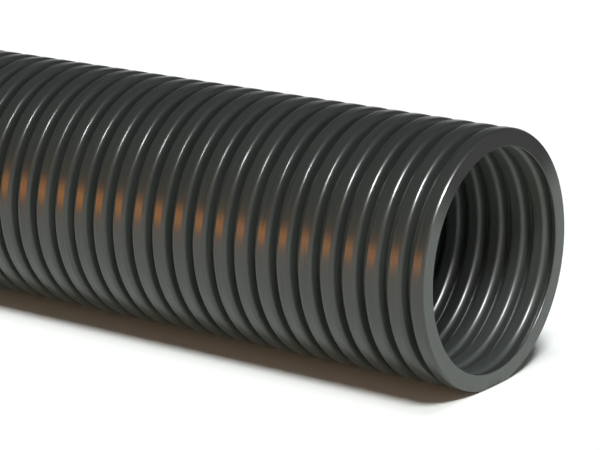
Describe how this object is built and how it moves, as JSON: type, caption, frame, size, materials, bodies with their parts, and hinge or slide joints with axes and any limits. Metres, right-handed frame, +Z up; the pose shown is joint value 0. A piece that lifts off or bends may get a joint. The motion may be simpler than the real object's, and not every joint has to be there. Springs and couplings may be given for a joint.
{
  "type": "pool vacuum hose",
  "caption": "Black corrugated plastic suction hose with one open cut end, tied in a round coil, with a swivel cuff on its other end.",
  "frame": {"origin": "on the hose's axis, in the plane of its open cut end", "axes": "+X out of the open end along the hose's axis, +Z up from the surface that the hose lies on"},
  "size_m": [0.7208, 0.5743, 0.1081],
  "materials": {
    "hose_plastic": "smooth glossy black plastic with fine streaks round the ribs",
    "collar_plastic": "moulded black plastic, satin",
    "cuff_plastic": "moulded black plastic, fine grained satin",
    "seal_rubber": "black rubber",
    "glide_plastic": "white slippery plastic",
    "ring_steel": "bright spring steel",
    "tie_webbing": "woven black hook and loop tape"
  },
  "bodies": {
    "hose": {"hose_end": "hose_plastic", "hose_run": "hose_plastic", "hose_coil": "hose_plastic", "hose_tail": "hose_plastic", "cuff_collar": "collar_plastic", "seal_ring": "seal_rubber", "tie_1": "tie_webbing", "tie_2": "tie_webbing", "tie_3": "tie_webbing"},
    "cuff": {"swivel_cuff": "cuff_plastic", "glide_ring": "glide_plastic", "retaining_ring": "ring_steel"}
  },
  "joints": [
    {"name": "cuff_swivel", "type": "hinge", "parent": "hose", "child": "cuff", "pos_m": [-0.562, 0, 0.05434], "axis": [-1, 0, 0], "continuous": true}
  ]
}
